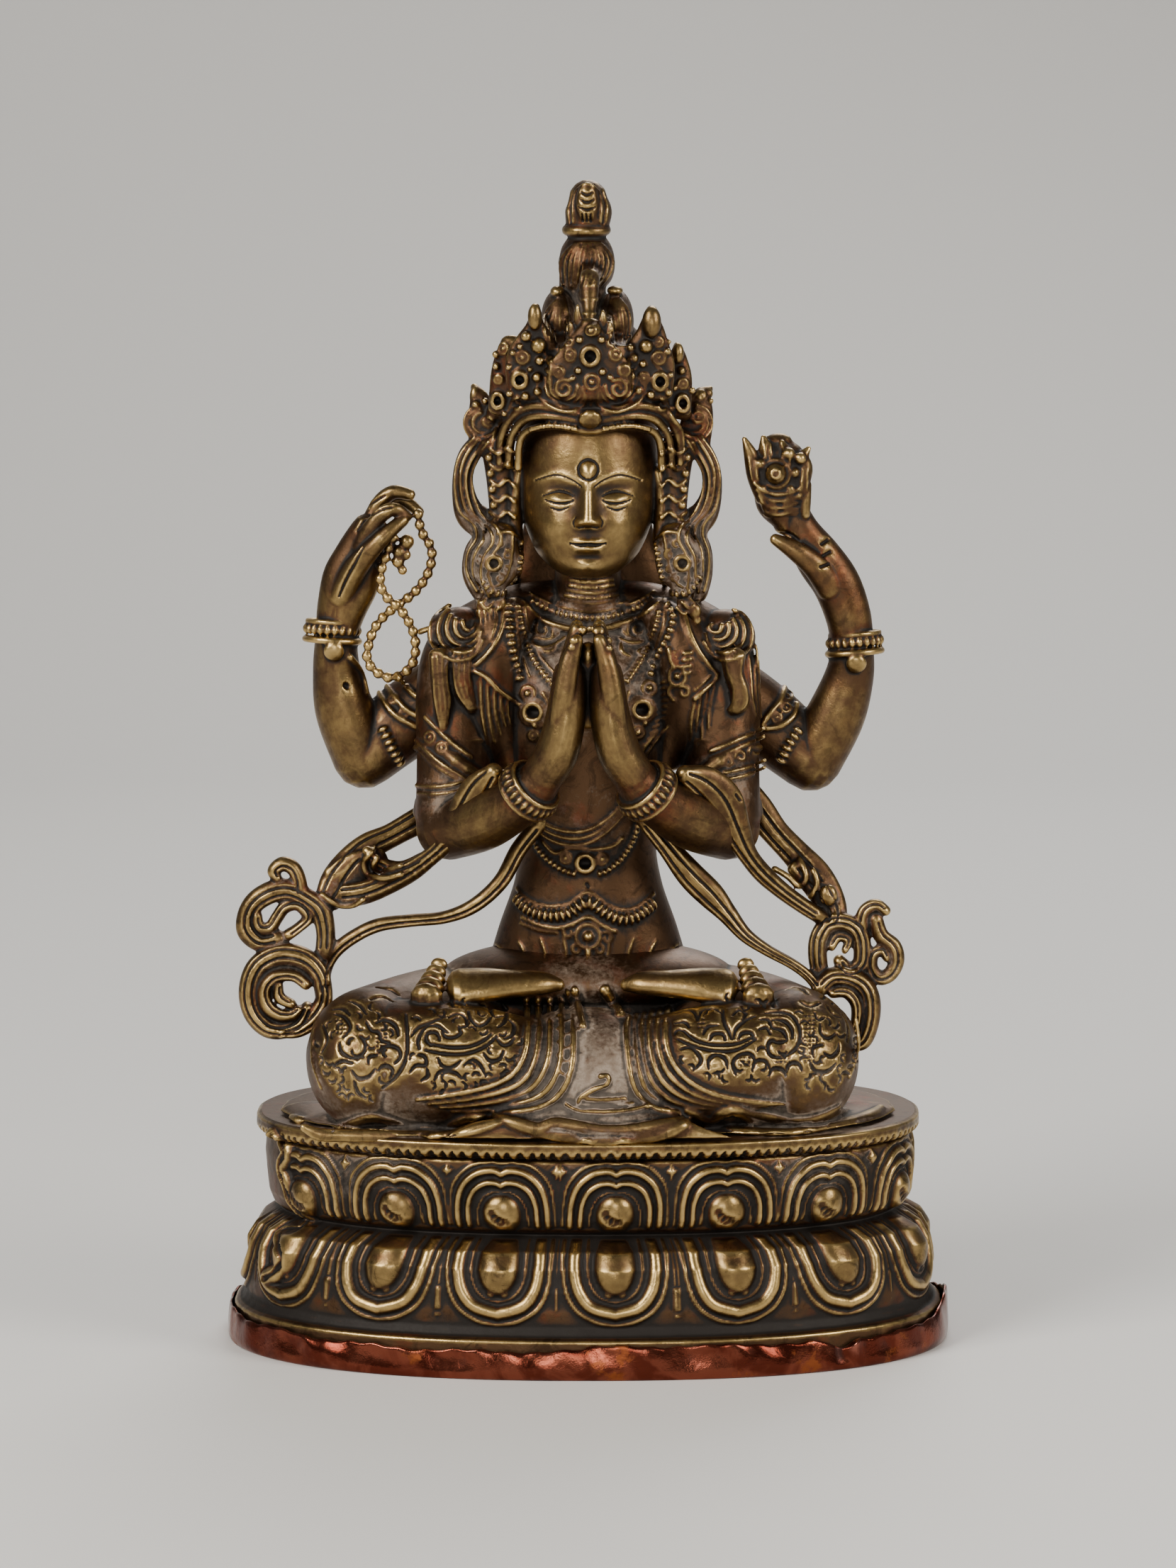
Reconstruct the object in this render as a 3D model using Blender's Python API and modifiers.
"""A seated four-armed bodhisattva, cast in brass, on a lotus throne closed below by a crimped copper sheet.

The figure's points are millimetres from the middle of the seat: X to the viewer's right, Y to the back
and Z up, for a figure of POSE_HEIGHT. FIGURE_HEIGHT scales them, so the figure keeps its pose at any size.
"""

import bisect
import math

import bmesh
import bpy
from mathutils import Matrix, Vector

MM = 0.001

# Figure
FIGURE_HEIGHT = 168.3
POSE_HEIGHT = 170.0
SCALE = FIGURE_HEIGHT / POSE_HEIGHT
LEAN = 0.053
SEAT_GAP = 0.6

# Lotus throne: half sizes of its plan at the foot, insets from there, and heights above its foot
THRONE_HALF_WIDTH = 65.0
THRONE_HALF_DEPTH = 42.1
WAIST_INSET = 6.4
TOP_INSET = 4.4
PLAN_POWER = 2.3
THRONE_HEIGHT = 40.3
FOOT_BAND_HEIGHT = 6.2
WAIST_HEIGHT = 22.8
TOP_RIM_HEIGHT = 2.8
LOWER_PETALS = (FOOT_BAND_HEIGHT + 0.4, WAIST_HEIGHT - 0.4)
UPPER_PETALS = (WAIST_HEIGHT + 1.0, THRONE_HEIGHT - TOP_RIM_HEIGHT - 0.9)
LOWER_BELL = ((0.06, 2.2), (0.23, 2.4), (0.46, 2.7), (0.7, 4.0), (0.9, 6.2))
UPPER_BELL = ((0.09, 6.4), (0.36, 6.6), (0.66, 6.0), (0.86, 6.0))
GROOVE_DEPTH = 2.0
PETAL_COUNT = 15.4
PETALS = (-3, 5)
PETAL_SHIFT = 5.4
PETAL_RELIEF = 0.9

# Copper sheet, crimped up round the throne's foot
SHEET_THICKNESS = 1.0
SHEET_WALL_HEIGHT = 5.6
SHEET_CLEARANCE = 0.3
SHEET_BULGE = 0.6
CRIMP_DEPTH = 1.2
EDGE_WAVE = 0.7

# Fineness of the fused skins
FIGURE_VOXEL = 0.62
FILL = 0.6
FIGURE_KEEP = 0.0155

COLLECTION = "bodhisattva_statue"
THRONE_LEVEL = SHEET_THICKNESS + SHEET_CLEARANCE
SEAT_LEVEL = THRONE_LEVEL + THRONE_HEIGHT
FORWARD = (0.0, -1.0, 0.0)
UPWARD = (0.0, 0.0, 1.0)


def eased(stations, steps):
    """Points on a smooth curve through the stations. Every number of a station is eased, its radii too."""
    rows = [stations[0]] + list(stations) + [stations[-1]]
    path = []
    for i in range(1, len(rows) - 2):
        for k in range(steps):
            t = k / steps
            path.append(
                [
                    0.5
                    * (
                        2 * b + (c - a) * t + (
                            2 * a - 5 * b + 4 * c - d
                        ) * t**2 + (3 * b - a - 3 * c + d) * t**3
                    )
                    for a, b, c, d in zip(rows[i - 1], rows[i], rows[i + 1], rows[i + 2])
                ]
            )
    path.append(list(stations[-1]))
    return path


class Clay:
    """Closed forms that overlap, gathered for one piece and fused later into a single skin."""

    def __init__(self):
        self.bm = bmesh.new()

    def ball(self, centre, radii, turn=(0.0, 0.0, 0.0), segments=16):
        """An ellipsoid, turned about X, Y and Z by degrees."""
        place = Matrix.Translation(centre)
        for axis, degrees in zip("XYZ", turn):
            place = place @ Matrix.Rotation(math.radians(degrees), 4, axis)
        place = place @ Matrix.Diagonal((*radii, 1.0))
        bmesh.ops.create_uvsphere(
            self.bm, u_segments=segments, v_segments=segments // 2 + 2, radius=1.0, matrix=place
        )

    def skin(self, rings, closed=False):
        """Joins rings of equal length into a tube with two ends, or into one that closes on itself."""
        loops = [[self.bm.verts.new(point) for point in ring] for ring in rings]
        pairs = list(zip(loops, loops[1:]))
        if closed:
            pairs.append((loops[-1], loops[0]))
        for low, high in pairs:
            for k in range(len(low)):
                j = (k + 1) % len(low)
                self.bm.faces.new((low[k], low[j], high[j], high[k]))
        if not closed:
            self.bm.faces.new(loops[0][::-1])
            self.bm.faces.new(loops[-1])

    def sweep(self, stations, facing=FORWARD, steps=5, sides=12, closed=False):
        """A limb or ribbon through (x, y, z, half width, half thickness), with its flat side to facing."""
        if closed:
            count = len(stations)
            wrapped = [stations[-1]] + list(stations) + list(stations[:2])
            path = eased(wrapped, steps)[steps : steps * (count + 1)]
        else:
            path = eased(stations, steps)
        facing = Vector(facing)
        rings = []
        for i, row in enumerate(path):
            after = path[(i + 1) % len(path)] if closed else path[min(i + 1, len(path) - 1)]
            before = path[i - 1] if closed or i else path[0]
            along = (Vector(after[:3]) - Vector(before[:3])).normalized()
            side = along.cross(facing).normalized()
            front = side.cross(along)
            rings.append((Vector(row[:3]), along, side, front, row[3], row[4]))
        if closed:
            sections = rings
        else:
            sections = self.rounded_end(rings[0], -1) + rings + self.rounded_end(rings[-1], 1)
        loops = []
        for centre, _, side, front, wide, thick in sections:
            angles = [2 * math.pi * k / sides for k in range(sides)]
            loops.append(
                [centre + side * wide * math.cos(a) + front * thick * math.sin(a) for a in angles]
            )
        self.skin(loops, closed)

    @staticmethod
    def rounded_end(ring, sign):
        """Two shrinking sections beyond the first or last one."""
        centre, along, side, front, wide, thick = ring
        reach = min(wide, thick) * sign
        ends = [
            (
                centre + along * reach * math.sin(a),
                along,
                side,
                front,
                wide * math.cos(a),
                thick * math.cos(a),
            )
            for a in (0.6, 1.25)
        ]
        return ends if sign > 0 else ends[::-1]

    def loft(self, sections, sides=32):
        """A body through level sections (z, half width, front y, back y), each a rounded plan."""
        loops = []
        for z, wide, front, back in eased(sections, 3):
            middle, deep = (front + back) / 2, (back - front) / 2
            angles = [2 * math.pi * k / sides for k in range(sides)]
            loops.append([Vector((wide * math.cos(a), middle + deep * math.sin(a), z)) for a in angles])
        self.skin(loops)

    def spiral(self, centre, start_radius, end_radius, start, turn, wide, thick, taper=0.6):
        """A scroll in the plane that faces forward, from an angle in degrees through a signed turn."""
        x, y, z = centre
        count = max(4, int(abs(turn) / 40))
        stations = []
        for i in range(count + 1):
            t = i / count
            radius = start_radius + (end_radius - start_radius) * t
            angle = math.radians(start + turn * t)
            shrink = 1 - (1 - taper) * t
            stations.append(
                (
                    x + radius * math.cos(angle),
                    y,
                    z + radius * math.sin(angle),
                    wide * shrink,
                    thick * shrink,
                )
            )
        self.sweep(stations)

    def plain(self, name, place, colour, roughness):
        """The piece as an object, with its forms as they are."""
        mesh = bpy.data.meshes.new(name)
        bmesh.ops.recalc_face_normals(self.bm, faces=self.bm.faces)
        bmesh.ops.transform(self.bm, matrix=place @ Matrix.Scale(MM, 4), verts=self.bm.verts)
        self.bm.to_mesh(mesh)
        self.bm.free()
        piece = bpy.data.objects.new(name, mesh)
        bpy.data.collections[COLLECTION].objects.link(piece)
        mesh.materials.append(metal(name, colour, roughness))
        return piece

    def fused(self, name, voxel, keep, place, colour, roughness):
        """The piece fused by a voxel skin, which swells and shrinks to close small holes and is then thinned."""
        piece = self.plain(name, place, colour, roughness)
        for label, swell in (("Fuse", FILL), ("Close", -FILL)):
            fuse = piece.modifiers.new(label, "REMESH")
            fuse.mode = "VOXEL"
            fuse.voxel_size = voxel * MM
            shift = piece.modifiers.new(label + " shift", "DISPLACE")
            shift.strength = swell * MM
            shift.mid_level = 0.0
        ease = piece.modifiers.new("Ease", "SMOOTH")
        ease.factor = 0.5
        ease.iterations = 3
        thin = piece.modifiers.new("Thin", "DECIMATE")
        thin.ratio = keep
        return piece


def metal(name, colour, roughness):
    """A metallic material for one piece."""
    material = bpy.data.materials.new(name)
    material.use_nodes = True
    shader = material.node_tree.nodes["Principled BSDF"]
    shader.inputs["Base Color"].default_value = (*colour, 1.0)
    shader.inputs["Metallic"].default_value = 1.0
    shader.inputs["Roughness"].default_value = roughness
    return material


def mirrored(stations, side):
    """Stations given for the viewer's right, put on the side -1 or 1."""
    return [(side * row[0], *row[1:]) for row in stations]


def torso(clay):
    """Hips, narrow waist, chest and shoulders, with the ringed neck."""
    clay.loft(
        [
            (2, 21, -9, 18),
            (12, 21, -10, 18),
            (24, 19, -9, 16.5),
            (33, 16.6, -9, 14.5),
            (42, 13.6, -8.8, 12.5),
            (50, 12.6, -8.4, 11.5),
            (60, 14.4, -9.4, 12.2),
            (70, 17.6, -10.6, 13.2),
            (78, 21, -10.2, 14),
            (84, 23.5, -7.5, 13.4),
            (88, 20.5, -4.5, 12),
            (91, 11.5, -4, 10),
            (94, 6.6, -4.6, 8.6),
            (105, 6.2, -5.2, 7.5),
        ]
    )
    for level in (93.5, 96.5, 99.5):
        clay.sweep(
            [
                (6.9 * math.cos(a), 1.6 - 6.8 * math.sin(a), level, 0.9, 0.9)
                for a in (0.2, 0.9, 1.57, 2.24, 2.94)
            ]
        )


def legs(clay):
    """Crossed legs: thighs, the knees and shins under brocade, and the mass between them."""
    clay.ball((0, 3, 15), (25, 18, 16))
    clay.ball((0, -22, 11), (17, 13.4, 12))
    for side, reach in ((-1, 1.0), (1, 0.95)):
        clay.sweep(
            mirrored(
                [(10, 6, 14, 13, 13), (27, -3, 14, 13.5, 12.6), (40 * reach, -15, 13, 11.5, 12.2)], side
            ), UPWARD
        )
        clay.ball((side * 40 * reach, -18.5, 13), (11.2, 13.5, 12.8))
        clay.sweep(
            mirrored(
                [
                    (40 * reach, -20, 12.6, 10.5, 11.6),
                    (24, -23.5, 12.8, 9.6, 11.4),
                    (9, -24.5, 11, 8, 10),
                ],
                side,
            ),
            UPWARD,
            steps=6,
        )


def feet(clay):
    """The two soles turned up on the thighs, each with five toes at its outer end."""
    for side, out in ((-1, 0.0), (1, 1.6)):
        clay.sweep(
            mirrored(
                [
                    (3 + out, -17.5, 26.8, 2.6, 2.2),
                    (9 + out, -18.6, 27, 3.1, 2.5),
                    (17 + out, -19.4, 26.9, 3.7, 2.6),
                    (24.5 + out, -19.8, 26.4, 4.4, 2.7),
                ],
                side,
            ),
            (0, -0.5, 0.87),
        )
        for toe in range(5):
            size = 2.5 - 0.28 * toe
            place = (side * (29.2 + out - 0.5 * toe), -22.8 + 2.7 * toe, 25.4 + 0.9 * toe)
            clay.ball(place, (size * 1.25, size * 0.8, size), (0, 0, side * 12), 10)


def joined_arms(clay):
    """The front pair of arms, bent at the elbow, with the palms pressed together before the chest."""
    for side in (-1, 1):
        clay.sweep(
            mirrored(
                [
                    (21, 2, 84, 7.2, 7),
                    (24, 0, 78, 7.6, 7.2),
                    (24.2, -3, 66, 7.2, 7.2),
                    (25, -7, 54.5, 6.6, 6.8),
                ], side
            )
        )
        clay.sweep(
            mirrored(
                [
                    (25.5, -7.5, 53.5, 6, 6.2),
                    (18.5, -14.5, 56.5, 5.7, 5.8),
                    (12, -20.5, 61, 4.6, 4.8),
                    (8.4, -23, 65, 3.9, 4.2),
                ],
                side,
            )
        )
        clay.sweep(
            mirrored(
                [
                    (7.9, -23, 65.5, 3.5, 4.3),
                    (5, -24, 70, 3.4, 4.9),
                    (3.0, -24.4, 76.5, 2.7, 5.2),
                    (2.7, -24.4, 84, 2.4, 4.7),
                    (1.7, -24, 91.5, 1.6, 3.2),
                ],
                side,
            )
        )
        clay.sweep(
            mirrored(
                [(3.6, -20.5, 71, 1.8, 1.8), (1.9, -19.4, 78, 1.7, 1.6), (1.2, -19.6, 83, 1.3, 1.2)], side
            )
        )
        bangle(clay, (side * 10.4, -21.8, 62.8), (side * -0.62, -0.42, 0.66), 5.6, 1.3)


def bangle(clay, centre, along, radius, thick, flat=1.0, count=10, rise=1.0):
    """A round band about a limb that runs along."""
    axis = Vector(along).normalized()
    across = axis.cross(Vector(FORWARD)).normalized()
    front = across.cross(axis)
    stations = []
    for k in range(count):
        angle = 2 * math.pi * k / count
        place = Vector(
            centre
        ) + across * radius * math.cos(angle) + front * radius * flat * math.sin(angle)
        stations.append((*place, thick, thick * rise))
    clay.sweep(stations, axis, steps=3, sides=8, closed=True)


def raised_arms(clay):
    """The rear pair of arms, raised on both sides: one hand with prayer beads, the other with a lotus."""
    clay.sweep(
        [(-19, 6, 80, 7, 7), (-27, 7, 75.5, 7.2, 7), (-35, 6.5, 70, 7, 6.6), (-41.2, 5.5, 64.5, 6.0, 6.2)]
    )
    clay.sweep(
        [
            (-41.6, 5.5, 64.2, 5.6, 6),
            (-44.9, 4, 73.4, 5.5, 5.6),
            (-46.3, 3, 81, 4.4, 4.6),
            (-46.3, 2, 87.5, 3.8, 4.2),
        ]
    )
    clay.sweep(
        [
            (-46.3, 2, 87.5, 3.8, 4.0),
            (-45.2, 1.2, 92.5, 4.6, 3.6),
            (-43.4, 0.4, 98, 5.3, 3.3),
            (-41.6, 0, 103, 4.4, 3.1),
            (-39.8, -0.4, 107, 3.6, 3.0),
        ]
    )
    bangle(clay, (-46.3, 2.4, 86.0), (0.05, 0.1, 1), 5.0, 1.25)
    clay.ball((-45.2, -2.4, 83.2), (2.3, 1.4, 3.0))
    beaded_fingers = [
        [
            (-41.5, -2.2, 104, 1.7, 1.7),
            (-38.8, -3.4, 109, 1.5, 1.5),
            (-35.6, -3.6, 111.3, 1.3, 1.3),
            (-33.2, -2.6, 109.8, 1.1, 1.1),
        ],
        [
            (-40.8, 0.4, 106, 1.7, 1.7),
            (-38.4, 0, 111.6, 1.5, 1.5),
            (-35.6, -0.6, 114, 1.35, 1.3),
            (-32.6, -1, 113.6, 1.1, 1.1),
        ],
        [
            (-40.2, 2.6, 106, 1.6, 1.6),
            (-37.6, 2.6, 111, 1.45, 1.4),
            (-34, 2, 112.2, 1.3, 1.2),
            (-31, 1.2, 110.2, 1.0, 1.0),
        ],
        [
            (-44.6, -3, 96, 2.2, 2),
            (-41, -4.6, 101.5, 1.8, 1.7),
            (-37.6, -4.8, 106, 1.5, 1.5),
            (-33.8, -3.4, 109.2, 1.2, 1.2),
        ],
    ]
    for finger in beaded_fingers:
        clay.sweep(finger, steps=4, sides=8)
    clay.sweep(
        [(19, 6, 80, 7, 7), (27, 7, 75, 7.2, 7), (34.5, 6.5, 69.5, 6.9, 6.6), (41, 5.5, 64, 6.0, 6.2)]
    )
    clay.sweep(
        [
            (41.4, 5.5, 63.8, 5.6, 6),
            (45.8, 4, 72.5, 5.4, 5.4),
            (48.2, 3, 80, 4.5, 4.6),
            (48.6, 2, 85.5, 3.9, 4.2),
        ]
    )
    clay.sweep(
        [
            (48.6, 2, 85.5, 3.9, 4.0),
            (47.8, 1, 91, 4.2, 3.7),
            (45.6, 0.2, 97, 4.4, 3.4),
            (42.2, -0.4, 102, 4.3, 3.1),
            (39, -0.8, 107, 3.4, 2.8),
            (37, -1, 112, 2.6, 2.4),
        ]
    )
    bangle(clay, (48.5, 2.3, 83.6), (-0.1, 0.05, 1), 5.0, 1.25)
    clay.ball((46.8, -2.2, 80.8), (2.3, 1.4, 3.0))
    clay.sweep(
        [(42.5, -2.6, 98.5, 2.1, 1.9), (38.4, -4, 102.6, 1.8, 1.7), (34.2, -4.4, 105.8, 1.1, 1.1)],
        steps=4,
        sides=8,
    )


def prayer_beads(clay, swell=0.0, thick=1.0, steps=40):
    """The string of beads that hangs from the raised hand in a figure of eight."""
    middle = (-34.2, -1.6, 92.4)
    half_wide, half_high = 5.4, 15.2
    stations = []
    for k in range(steps):
        turn = 2 * math.pi * k / steps
        depth = 1.0 * math.sin(turn)
        size = thick * (1 + swell * (-1) ** k)
        stations.append(
            (
                middle[0] - 0.6 * math.cos(turn) + half_wide * math.sin(2 * turn),
                middle[1] + depth,
                middle[2] + half_high * math.cos(turn),
                size,
                size,
            )
        )
    clay.sweep(stations, steps=2, sides=8, closed=True)
    clay.ball((middle[0] + 0.4, middle[1] + 1.4, 103.6), (3.4, 1.9, 4.6))
    clay.sweep([(-34, 0, 80, 1.6, 1.6), (-33, 3, 77, 2.2, 2.2)], steps=2, sides=8)


def lotus_bloom(clay):
    """The lotus held at the tips of the other raised hand: a cup with pointed petals round a round boss."""
    clay.sweep(
        [
            (37, -1, 107.4, 3.4, 3),
            (35.2, -1.2, 112.2, 5.4, 4.6),
            (34.6, -1.4, 117, 6.2, 5.0),
            (34.6, -1.2, 120.6, 5.4, 3.8),
        ]
    )
    clay.sweep(
        [(31.6, -1, 116.4, 3.2, 2), (29.8, -1.5, 121.2, 2.6, 1.8), (28.4, -2, 124, 0.9, 0.8)], steps=3
    )
    clay.sweep([(38, -1, 116.4, 3, 2), (39.4, -1.5, 120, 2.4, 1.8), (40.4, -2, 122, 0.9, 0.8)], steps=3)
    clay.ball((34.2, -6.2, 117), (2.2, 2, 2.2), segments=12)
    bangle(clay, (34.2, -5.2, 117), (0, -1, 0.02), 3.5, 0.9, count=8)


def head(clay):
    """The head as an oval that narrows to the chin, with hair behind. The face is a plain, calm one."""
    clay.loft(
        [
            (100.0, 3.6, -9.6, -2),
            (101.6, 6.0, -11.2, 2),
            (104.5, 8.6, -12.2, 6),
            (109, 10.8, -13.0, 10),
            (114, 12.1, -13.6, 13),
            (120, 12.7, -13.8, 15),
            (126, 12.6, -12.8, 15.6),
            (132, 11.6, -10.4, 15),
            (138, 9.6, -6.5, 12.6),
            (142, 6, -2, 9),
        ]
    )
    nose_tip = (0, -16.6, 109.9)
    clay.sweep(
        [(0, -13.6, 118, 1.0, 0.8), (0, -14.8, 114.5, 1.05, 1.1), (*nose_tip[:2], 110.6, 1.5, 1.5)],
        steps=4,
        sides=8,
    )
    clay.ball(nose_tip, (1.55, 1.5, 1.3), segments=10)
    clay.sweep(
        [
            (-3.1, -12.8, 105.6, 0.7, 0.6),
            (-1.3, -14.0, 106.1, 0.9, 0.8),
            (0, -14.2, 105.9, 0.8, 0.8),
            (1.3, -14.0, 106.1, 0.9, 0.8),
            (3.1, -12.8, 105.6, 0.7, 0.6),
        ],
        steps=3,
        sides=8,
    )
    clay.sweep(
        [(-2.4, -12.8, 104.6, 0.8, 0.7), (0, -13.9, 104.2, 1.0, 1.0), (2.4, -12.8, 104.6, 0.8, 0.7)],
        steps=3,
        sides=8,
    )
    clay.ball((0, -11.4, 102.2), (2.4, 1.7, 1.7), segments=10)
    clay.ball((0, -14.4, 119.6), (1.5, 1.0, 1.5), segments=10)
    for side in (-1, 1):
        clay.ball((side * 1.5, -14.6, 109.5), (1.0, 1.2, 0.9), segments=10)
        clay.ball((side * 4.9, -12.1, 114.3), (2.9, 1.7, 1.5), segments=12)
        clay.ball((side * 6.0, -9.6, 108.3), (3.6, 3.2, 3.6), segments=12)
        clay.sweep(
            mirrored(
                [(1.4, -14.0, 116.8, 0.6, 0.6), (5, -13.2, 118.3, 0.7, 0.7), (9, -10.8, 117.2, 0.5, 0.5)],
                side,
            ),
            steps=3,
            sides=8,
        )
        clay.sweep(
            mirrored(
                [(12.6, -3, 118, 1.4, 2.2), (13.4, -3.4, 112, 1.4, 2.0), (13.2, -4, 105.5, 1.5, 1.9)],
                side,
            )
        )


def diadem(clay):
    """The crown: two ridges that frame the forehead and temples, and five leaves that stand on them."""
    for lift, out, size in ((0.0, 0.0, 1.2), (2.2, 0.7, 1.3), (4.6, 0.9, 1.6)):
        arch = [
            (13.6 + out, -4.5, 112 + lift, size, size * 1.3),
            (13.6 + out, -6.6, 119 + lift, size, size * 1.3),
            (11.8 + out, -9.8, 125 + lift, size, size * 1.3),
            (7.0, -13.4, 128.0 + lift, size, size * 1.2),
            (0.0, -15.0 - 0.4 * out, 127.2 + lift, size, size * 1.2),
        ]
        clay.sweep(mirrored(arch, -1) + arch[-2::-1])
    clay.ball((0, -16.8, 130.2), (2.3, 1.8, 2.3), segments=12)
    leaves = (
        ((0.0, -14.6, 131.5), 0, 8.2, 14.0),
        ((-9.2, -12.0, 131.5), -36, 6.0, 16.2),
        ((10.2, -12.0, 131.5), 36, 6.0, 16.2),
        ((-14.4, -6.5, 127.5), -64, 5.6, 14.6),
        ((15.0, -6.5, 127.5), 64, 5.6, 14.6),
        ((-18.6, -1.5, 120.0), -60, 4.8, 12.4),
        ((19.4, -1.5, 120.0), 60, 4.8, 12.4),
    )
    for foot, around, wide, high in leaves:
        crown_leaf(clay, foot, around, wide, high)
    clay.sweep([(0, -12.6, 144, 2.4, 2.2), (0, -11.2, 149, 1.9, 1.9), (0, -10, 155.4, 2.1, 2.1)], steps=4)


def crown_leaf(clay, foot, around, wide, high):
    """A pointed leaf of the crown: a plate with rosettes and side scrolls that leans a little outward."""
    turn = math.radians(around)
    side = Vector((math.cos(turn), math.sin(turn), 0))
    out = Vector((math.sin(turn), -math.cos(turn), 0))
    base = Vector(foot)

    def at(across, up, proud=0.0):
        return base + side * across * wide + out * (proud + 0.10 * up * high) + Vector((0, 0, up * high))

    plate = [
        (*at(0, 0), 0.86 * wide, 1.5),
        (*at(0, 0.38), 0.92 * wide, 1.5),
        (*at(0, 0.68), 0.55 * wide, 1.3),
        (*at(0, 0.95), 0.16 * wide, 0.9),
    ]
    clay.sweep(plate, out, steps=4)
    for across, up, size in (
        (0, 0.36, 0.30),
        (0, 0.70, 0.24),
        (-0.5, 0.5, 0.2),
        (0.5, 0.5, 0.2),
        (-0.56, 0.14, 0.28),
        (0.56, 0.14, 0.28),
    ):
        clay.ball(at(across, up, 1.4), [size * wide] * 3, segments=10)


def hair(clay):
    """The swept-up hair in two knots, with the ring and jewel that end it."""
    clay.ball((0, 4, 138), (12, 11, 9))
    clay.ball((-3.4, 4, 144), (5, 7, 7.6))
    clay.ball((4.0, 4, 143.4), (4.6, 7, 7.4))
    clay.sweep(
        [(0, 4, 146, 4.4, 4.6), (0, 4, 152, 4.8, 5.2), (0, 4, 157, 4.6, 5.0), (0, 4, 160.4, 3.6, 3.8)]
    )
    bangle(clay, (0, 4, 161.5), (0, 0, 1), 3.5, 1.1)
    clay.sweep([(0, 4, 162, 3.6, 3.6), (0, 4, 165.5, 4.2, 4.2), (0, 4, 168.2, 3.4, 3.4)])
    clay.ball((0, 0.6, 165.6), (2.2, 2.2, 3.6), segments=12)
    clay.sweep(
        [
            (0, 11, 130, 10, 5),
            (0, 13, 118, 11, 4.6),
            (0, 12.4, 106, 12, 4.6),
            (0, 12, 95, 15, 4.4),
            (0, 13, 84, 11, 3),
        ],
        (0, 1, 0),
    )


def side_hangings(clay):
    """What frames the face on both sides: rosettes and hair, fluttering ribbons, and the large earrings."""
    for side in (-1, 1):
        clay.sweep(
            mirrored(
                [
                    (17.6, -2.5, 122, 3.2, 3.0),
                    (16.6, -2.5, 113, 2.9, 3.2),
                    (15.6, -3, 104.5, 3.2, 3.2),
                    (15.4, -4.4, 99, 3.0, 2.4),
                ],
                side,
            )
        )
        clay.sweep(
            mirrored(
                [
                    (19.6, -1, 122.5, 1.5, 1.7),
                    (22.8, 0, 119.5, 1.4, 1.7),
                    (24.2, 0, 114.5, 1.4, 2.0),
                    (23.6, -0.4, 109.6, 1.7, 2.2),
                    (20.2, -1.4, 106.6, 2.0, 2.4),
                    (18.2, -2.4, 102.8, 2.4, 2.4),
                    (21.2, -2.4, 98.6, 2.0, 2.0),
                    (20.2, -2.2, 94.4, 2.2, 2.2),
                    (18.0, -2, 91, 2.4, 2.4),
                ],
                side,
            ),
            steps=4,
        )
        clay.sweep(
            mirrored(
                [
                    (16.6, -6.6, 105.4, 3.1, 1.5),
                    (16.2, -7.6, 101, 4.6, 2.0),
                    (16.6, -7.4, 96.4, 3.2, 1.6),
                ],
                side,
            ), steps=4
        )
        clay.ball((side * 16.6, -9.4, 101.6), (1.9, 1.2, 2.3), segments=10)
        clay.sweep(mirrored([(17.4, -6, 96.5, 2.4, 1.8), (18.6, -6.4, 91.4, 1.9, 1.6)], side), steps=3)


def hair_locks(clay):
    """Curled locks on both shoulders, and the strands that fall from them over the arms."""
    for side in (-1, 1):
        clay.ball((side * 22.4, -2, 86.6), (6.4, 5.6, 4.2))
        clay.spiral((side * 22.4, -6.4, 86.0), 5.0, 1.6, 90, side * 420, 1.2, 1.2)
        clay.sweep(
            mirrored(
                [
                    (23, -6.6, 82, 2.0, 1.2),
                    (20, -7.6, 76.4, 2.2, 1.4),
                    (20.6, -8.4, 71, 1.8, 1.3),
                    (17.4, -9.4, 66.6, 1.3, 1),
                ],
                side,
            ),
            steps=4,
        )
        clay.sweep(
            mirrored(
                [(27, -5.2, 81, 1.8, 1.2), (26.2, -6.8, 75, 1.8, 1.3), (25.2, -8.2, 68.4, 1.2, 1)], side
            ), steps=4
        )


def sleeves(clay):
    """Armlets and the short sleeves whose ends hang from the elbows."""
    for side in (-1, 1):
        clay.sweep(
            mirrored(
                [(30, -4, 71, 1.2, 1.6), (24, -10, 66, 1.6, 1.6), (17.6, -8, 61.4, 1.2, 1.5)], side
            ), steps=4
        )
        clay.sweep(
            mirrored([(27.6, -4, 56, 4.6, 6.4), (27.8, -3, 49.6, 3.6, 5), (27, -2, 46.6, 1.8, 3)], side),
            steps=3,
        )
        bangle(clay, (side * 34, 6.4, 70.8), (side * 0.75, 0.1, -0.66), 7.2, 1.3)
        bangle(clay, (side * 24.3, -2.2, 68), (side * 0.1, 0.2, 1), 7.4, 1.2)


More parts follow.
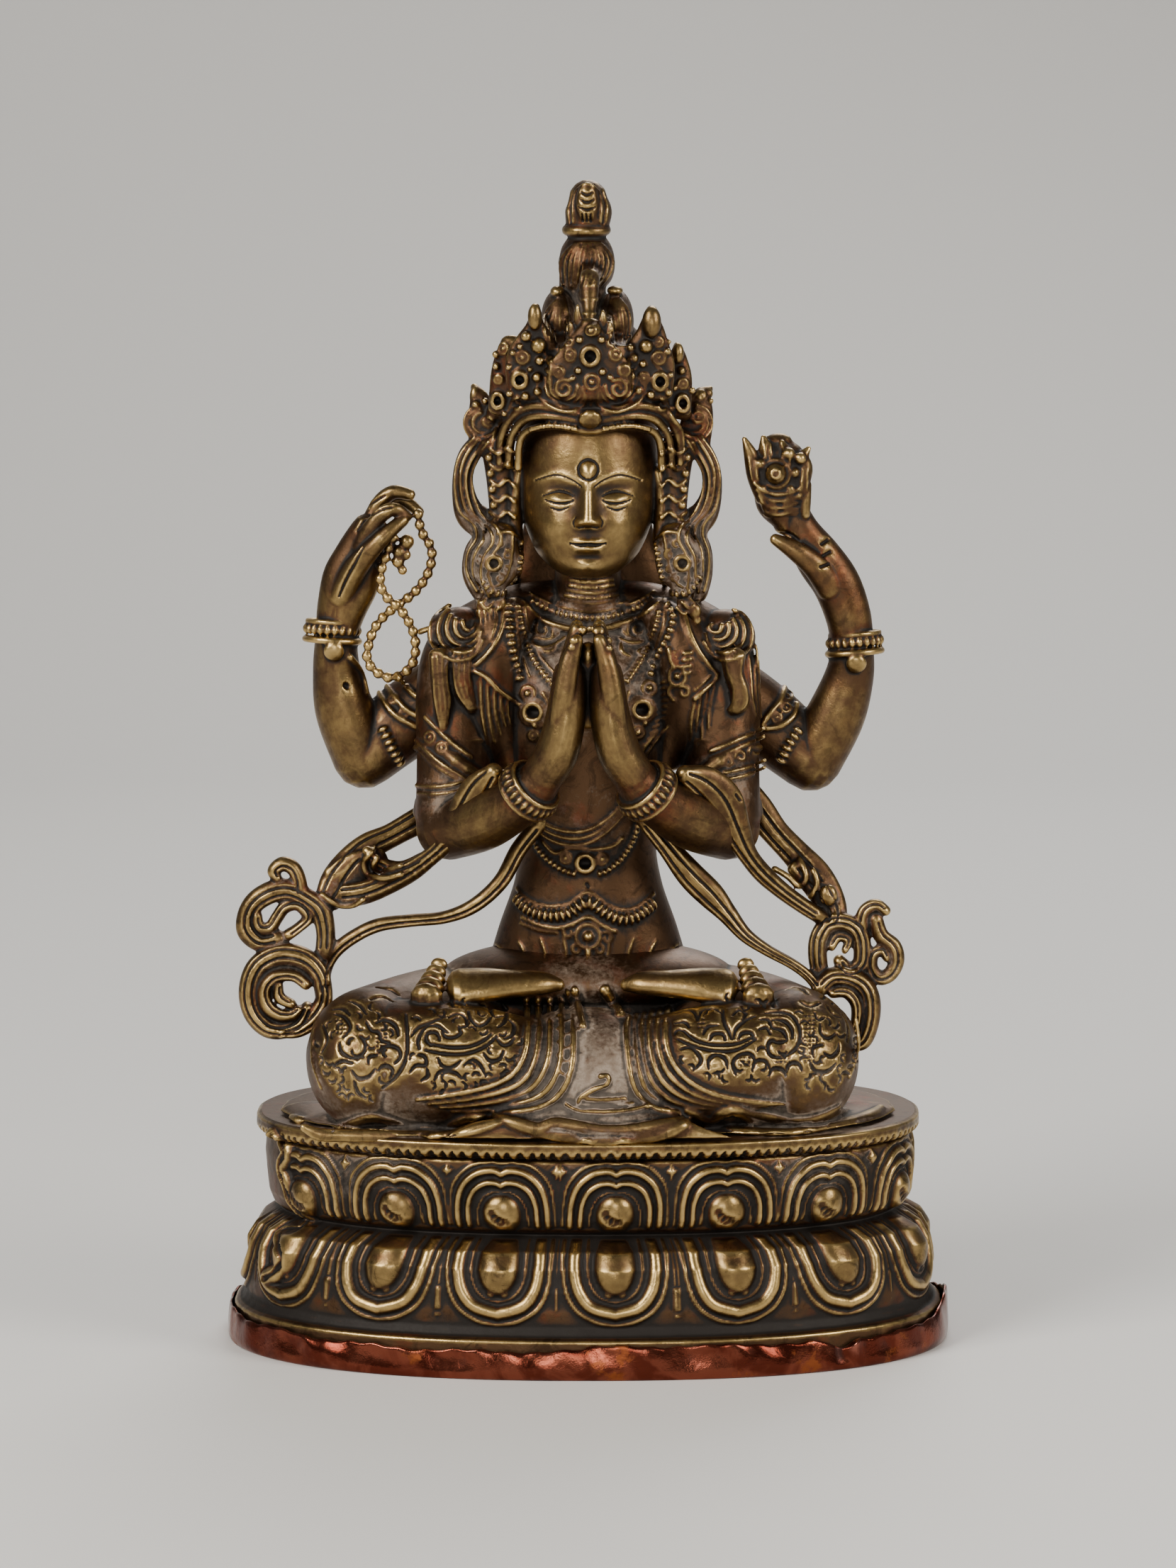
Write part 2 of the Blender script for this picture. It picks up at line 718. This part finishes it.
def scarves(clay):
    """The long scarf: from both elbows out to the scrolls beside the knees, and a thin end from the waist."""
    left_front = [
        (-19, -13.5, 57.5, 2.6, 2.2),
        (-25.6, -12.5, 52.6, 2.2, 1.8),
        (-30, -10, 47.2, 2.4, 1.7),
        (-38, -7, 41.4, 3.4, 1.7),
        (-45.6, -4.6, 38.4, 3.4, 1.8),
        (-49.6, -4, 38.6, 1.6, 1.6),
    ]
    left_back = [
        (-29, 3, 54.4, 3.2, 1.6),
        (-37, 1, 51.6, 3.2, 1.6),
        (-43.4, -1.4, 46.4, 3.6, 1.6),
        (-48, -3.4, 40.4, 3.4, 1.8),
        (-49.6, -4, 36.6, 2.0, 1.6),
    ]
    left_thin = [
        (-12.6, -5, 49.4, 2.4, 2),
        (-16, -6, 42, 2.4, 1.6),
        (-21.4, -5.4, 36.4, 1.8, 1.6),
        (-29.3, -4.6, 34.4, 1.7, 1.6),
        (-38.6, -4, 33.0, 1.8, 1.6),
        (-43.8, -4, 30.4, 1.9, 1.7),
        (-47.4, -4, 25.6, 2.2, 1.8),
        (-48.8, -5, 20, 2.4, 1.8),
    ]
    right_front = [
        (20, -12.5, 58.5, 2.6, 2.2),
        (24.4, -12, 58, 3.2, 2.2),
        (26.6, -10.4, 52, 3.2, 2),
        (29.8, -8.6, 46.2, 2.8, 1.8),
        (34.6, -6.8, 40.6, 2.6, 1.7),
        (40.6, -5, 36.2, 2.4, 1.7),
        (44.4, -4.6, 33.8, 2.2, 1.7),
    ]
    right_back = [
        (29.6, 3, 58, 3.2, 1.6),
        (33.4, 1.4, 53.2, 3.2, 1.6),
        (38.6, 0, 46.8, 3.4, 1.6),
        (43.4, -2.6, 40.6, 3.2, 1.8),
        (45, -4, 35.4, 2.6, 1.7),
    ]
    right_thin = [
        (13.4, -6, 50, 3.0, 2),
        (18.6, -8, 43, 3.2, 1.9),
        (22.6, -8, 38.2, 3.0, 1.9),
        (26.6, -7, 33.6, 2.7, 1.8),
        (30.6, -6.4, 30, 2.3, 1.7),
        (36.4, -6, 27.2, 2.0, 1.7),
        (41, -6, 23.8, 2.2, 1.8),
    ]
    for strand in (left_front, left_back, left_thin, right_front, right_back, right_thin):
        clay.sweep(strand)
    clay.sweep([(-37.6, -4, 44.6, 2.2, 1.2), (-43, -3.6, 42, 3.4, 1.4), (-47.4, -4, 39, 3, 1.5)], steps=3)
    clay.sweep([(37.4, -3, 42.4, 1.8, 1.2), (41, -3.4, 39.2, 3.0, 1.4), (43.6, -4, 36, 3, 1.5)], steps=3)


def knee_scrolls(clay):
    """The scarf's ends, rolled into scrolls at both sides of the knees."""
    clay.spiral((-53.4, -5, 32.0), 4.4, 3.0, 60, 330, 1.7, 1.7, 0.8)
    clay.spiral((-58.8, -5, 34.6), 3.2, 2.6, 30, 330, 1.6, 1.7, 0.8)
    clay.sweep(
        [
            (-57, -5, 37.6, 1.6, 1.6),
            (-53.6, -5, 39.6, 1.5, 1.6),
            (-52.4, -5, 43, 1.4, 1.5),
            (-54.6, -5, 45.2, 1.4, 1.5),
            (-57, -5, 43.4, 1.5, 1.5),
        ],
        steps=4,
    )
    clay.spiral((-55.4, -6, 21.8), 6.2, 5.4, 110, -340, 2.1, 3.4, 0.9)
    clay.ball((-57.6, -4.4, 20), (3.4, 2.4, 4.6))
    clay.sweep(
        [(-51.6, -4.6, 39, 2.0, 1.6), (-50.2, -4.6, 33, 2.0, 1.8), (-50.4, -5, 27, 2.4, 2.0)], steps=3
    )
    clay.spiral((48.4, -4.6, 27.4), 4.4, 3.4, 120, -330, 1.7, 1.7, 0.8)
    clay.spiral((54.2, -5, 27.2), 3.0, 1.6, 150, -400, 1.5, 1.7, 0.8)
    clay.sweep(
        [
            (50.4, -4.6, 31.2, 1.5, 1.6),
            (49.8, -4.6, 35.4, 1.4, 1.5),
            (51.6, -4.6, 38.4, 1.3, 1.5),
            (54.2, -4.6, 37.2, 1.3, 1.4),
        ],
        steps=4,
    )
    clay.sweep([(53.0, -4.8, 31.0, 1.4, 1.5), (51.4, -4.8, 33.6, 1.3, 1.4)], steps=2)
    clay.spiral((46.4, -7, 16.8), 6.0, 5.4, 150, -330, 2.0, 3.2, 0.9)
    clay.sweep(
        [(45.6, -4.6, 34.4, 2.2, 1.6), (44, -4.6, 29, 1.9, 1.8), (43.6, -5, 23, 2.2, 2.0)], steps=3
    )


def jewels(clay):
    """Necklaces, the belt of beads with its pendant, and the long chain over the belly."""
    collar = [(9.4, -5, 90.4), (8, -9, 86.6), (0, -11.4, 84.2)]
    long_chain = [(13, -5.5, 89), (12.6, -10.8, 78), (9.8, -12, 70), (7, -11.4, 62)]
    inner_chain = [(10.4, -6, 89.6), (9.4, -11, 80), (6, -12.4, 74), (3, -12.8, 70)]
    low_chain = [(11.6, -5.4, 57), (9.2, -6.2, 48), (4.8, -8.6, 43.4), (0, -9.6, 41.8)]
    belt = [(14.8, -2.8, 38.6), (12, -6.2, 34.8), (6.4, -9.0, 34.2), (0, -9.8, 35.6)]
    for half, size in ((collar, 1.2), (low_chain, 1.1), (belt, 1.7)):
        path = [(-x, y, z, size, size) for x, y, z in half] + [
            (x, y, z, size, size)
            for x, y, z in half[-2::-1]
        ]
        clay.sweep(path, steps=4, sides=8)
    for half, size in ((long_chain, 1.1), (inner_chain, 1.0)):
        for side in (-1, 1):
            clay.sweep([(side * x, y, z, size, size) for x, y, z in half], steps=4, sides=8)
    for side in (-1, 1):
        clay.ball((side * 9.6, -12.2, 70.2), (1.9, 1.1, 1.9), segments=10)
    clay.ball((0, -10.6, 41.4), (2.4, 1.4, 2.4), segments=10)
    clay.ball((0, -11.4, 31), (3.4, 2.4, 3.4), segments=12)


def skirt(clay):
    """Skirt hems spread on the seat, with pleats that wrap each shin and a loop fold in the middle."""
    rim = [
        (-52, -6),
        (-46, -19),
        (-34, -27),
        (-18, -31.5),
        (0, -32),
        (18, -31.5),
        (34, -27),
        (46, -19),
        (52, -6),
    ]
    clay.sweep([(x, y, 1.5, 4.0, 1.7) for x, y in rim], UPWARD)
    clay.ball((0, -4, 1.2), (55.5, 29, 1.9), segments=32)
    for side in (-1, 1):
        for fold in range(4):
            near, low = 1.6 + 2.3 * fold, 1.2 * fold
            clay.sweep(
                mirrored(
                    [
                        (near, -30.5 + 1.4 * fold, 22 + 0.6 * fold, 0.9, 0.9),
                        (near + 0.6, -34.4 + 0.6 * fold, 13 + low, 1.0, 1.0),
                        (near + 5, -35.6 + 0.3 * fold, 6 + low, 1.1, 1.0),
                        (near + 15, -34.4 + 0.6 * fold, 3.4 + low * 0.6, 1.0, 1.0),
                        (near + 27, -29.8 + 0.6 * fold, 2.6 + low * 0.4, 0.9, 0.9),
                    ],
                    side,
                ),
                steps=4,
                sides=8,
            )
    clay.ball((0, -31, 3.4), (6, 6, 3.2))
    clay.sweep(
        [
            (5, -34, 6.4, 0.9, 0.9),
            (1.6, -36, 3.6, 1.0, 1.0),
            (-3.6, -37.6, 2.8, 1.0, 1.0),
            (-2, -38.8, 2.4, 1.0, 1.0),
            (4, -38.4, 2.4, 0.9, 0.9),
        ],
        steps=3,
    )


def figure():
    """The seated figure, cast in one with its scarves, jewels, crown and skirts."""
    clay = Clay()
    for form in (
        torso,
        legs,
        feet,
        joined_arms,
        raised_arms,
        prayer_beads,
        lotus_bloom,
        head,
        diadem,
        hair,
        side_hangings,
        hair_locks,
        sleeves,
        scarves,
        knee_scrolls,
        jewels,
        skirt,
    ):
        form(clay)
    for point in clay.bm.verts:
        point.co.z = max(point.co.z + LEAN * point.co.y, SEAT_GAP)
    place = Matrix.Translation((0, 0, SEAT_LEVEL * MM)) @ Matrix.Scale(SCALE, 4)
    return clay.fused("figure", FIGURE_VOXEL, FIGURE_KEEP, place, (0.42, 0.29, 0.13), 0.36)


class Plan:
    """The throne's rounded outline, measured along its length from the middle of the front."""

    def __init__(self, inset):
        wide, deep = THRONE_HALF_WIDTH - inset, THRONE_HALF_DEPTH - inset
        self.points = []
        for k in range(720):
            angle = math.radians(k / 2 - 90)
            c, s = math.cos(angle), math.sin(angle)
            x = wide * math.copysign(abs(c) ** (2 / PLAN_POWER), c)
            y = deep * math.copysign(abs(s) ** (2 / PLAN_POWER), s)
            self.points.append(Vector((x, y, 0)))
        self.lengths = [0.0]
        for here, there in zip(self.points, self.points[1:] + self.points[:1]):
            self.lengths.append(self.lengths[-1] + (there - here).length)
        self.total = self.lengths[-1]

    def at(self, distance):
        """The point at a distance along the outline, with the direction that looks straight out of it."""
        k = bisect.bisect_right(self.lengths, distance % self.total) - 1
        here, there = self.points[k % 720], self.points[(k + 1) % 720]
        along = (there - here).normalized()
        reach = distance % self.total - self.lengths[k]
        return here + along * reach, along.cross(Vector(UPWARD))

    def ring(self, count, level):
        """Points spaced evenly on the outline at one level."""
        return [self.at(self.total * k / count)[0] + Vector((0, 0, level)) for k in range(count)]


def row_level(row, share):
    """The height at a share of a row of petals."""
    return row[0] + share * (row[1] - row[0])


def petal_relief(across, level, hanging):
    """How far the skin stands out at a petal, across it from -1 to 1 and at a height on the throne."""
    low, high = LOWER_PETALS if hanging else UPPER_PETALS
    tip, root = (low, high) if hanging else (high, low)
    up = (level - tip) / (root - tip)
    if not 0 < up < 1:
        return -PETAL_RELIEF
    half = math.sqrt(max(0.0, 1 - (1 - min(1.0, up / 0.45)) ** 2)) * 0.86
    inside = half - abs(across)
    if inside < 0:
        return -PETAL_RELIEF
    return PETAL_RELIEF * (0.4 + 0.6 * min(1.0, 3 * inside))


def lotus_throne():
    """The throne under the figure: a waisted oval body with two rows of petals, and a plain back."""
    rim_level = THRONE_HEIGHT - TOP_RIM_HEIGHT
    profile = [(0.0, 0.0), (FOOT_BAND_HEIGHT - 0.8, 0.0), (FOOT_BAND_HEIGHT, GROOVE_DEPTH)]
    profile += [(row_level(LOWER_PETALS, share), inset) for share, inset in LOWER_BELL]
    profile += [(WAIST_HEIGHT - 0.6, WAIST_INSET + 1.6), (WAIST_HEIGHT + 0.8, WAIST_INSET + 1.6)]
    profile += [(row_level(UPPER_PETALS, share), inset) for share, inset in UPPER_BELL]
    profile += [(rim_level - 0.6, TOP_INSET + GROOVE_DEPTH), (rim_level, TOP_INSET)]
    profile += [(THRONE_HEIGHT - 0.4, TOP_INSET), (THRONE_HEIGHT, TOP_INSET + 0.6)]
    columns = [
        k + step
        for k in range(PETALS[0], PETALS[1])
        for step in (-0.5, -0.36, -0.17, 0.0, 0.17, 0.36)
    ]
    spare = PETAL_COUNT - (PETALS[1] - PETALS[0])
    columns += [PETALS[1] - 0.5 + spare * k / 16 for k in range(16)]
    loops = []
    for level, inset in profile:
        plan = Plan(inset)
        loop = []
        for column in columns:
            point, out = plan.at(plan.total * column / PETAL_COUNT + PETAL_SHIFT)
            across = 2 * (column - round(column))
            if column < PETALS[1] - 0.5:
                hanging = level < WAIST_HEIGHT
                rows = LOWER_PETALS if hanging else UPPER_PETALS
                if rows[0] < level < rows[1]:
                    point = point + out * petal_relief(across, level, hanging)
            loop.append(point + Vector((0, 0, level)))
        loops.append(loop)
    clay = Clay()
    clay.skin(loops)
    return clay.plain(
        "lotus_throne", Matrix.Translation((0, 0, THRONE_LEVEL * MM)), (0.40, 0.27, 0.12), 0.38
    )


def base_sheet():
    """The copper sheet: a flat floor under the throne and a crimped, uneven wall round its foot."""
    count = 64

    def ring(offset, level, wave=0.0, lift=0.0):
        plan = Plan(-offset)
        loop = []
        for k in range(count):
            point, out = plan.at(plan.total * k / count)
            turn = 2 * math.pi * k / count
            crimp = wave * (0.5 + 0.3 * math.sin(10 * turn + 0.6) + 0.2 * math.sin(16 * turn + 2.1))
            rise = lift * (0.6 * math.sin(3 * turn - 1.2) + 0.4 * math.sin(7 * turn + 0.4))
            loop.append(point + out * crimp + Vector((0, 0, level + rise)))
        return loop

    inner, outer = SHEET_CLEARANCE, SHEET_CLEARANCE + SHEET_THICKNESS
    clay = Clay()
    clay.skin(
        [
            ring(outer, 0.0),
            ring(outer + SHEET_BULGE, 0.3 * SHEET_WALL_HEIGHT, 0.8 * CRIMP_DEPTH),
            ring(outer, 0.6 * SHEET_WALL_HEIGHT, CRIMP_DEPTH),
            ring(outer, SHEET_WALL_HEIGHT, 0.4 * CRIMP_DEPTH, EDGE_WAVE),
            ring(inner, SHEET_WALL_HEIGHT, 0.0, EDGE_WAVE),
            ring(inner, SHEET_THICKNESS),
        ]
    )
    return clay.plain("base_sheet", Matrix.Identity(4), (0.36, 0.12, 0.06), 0.34)


def main():
    for piece in list(bpy.data.objects):
        bpy.data.objects.remove(piece)
    bpy.context.scene.collection.children.link(bpy.data.collections.new(COLLECTION))
    figure()
    lotus_throne()
    base_sheet()


main()
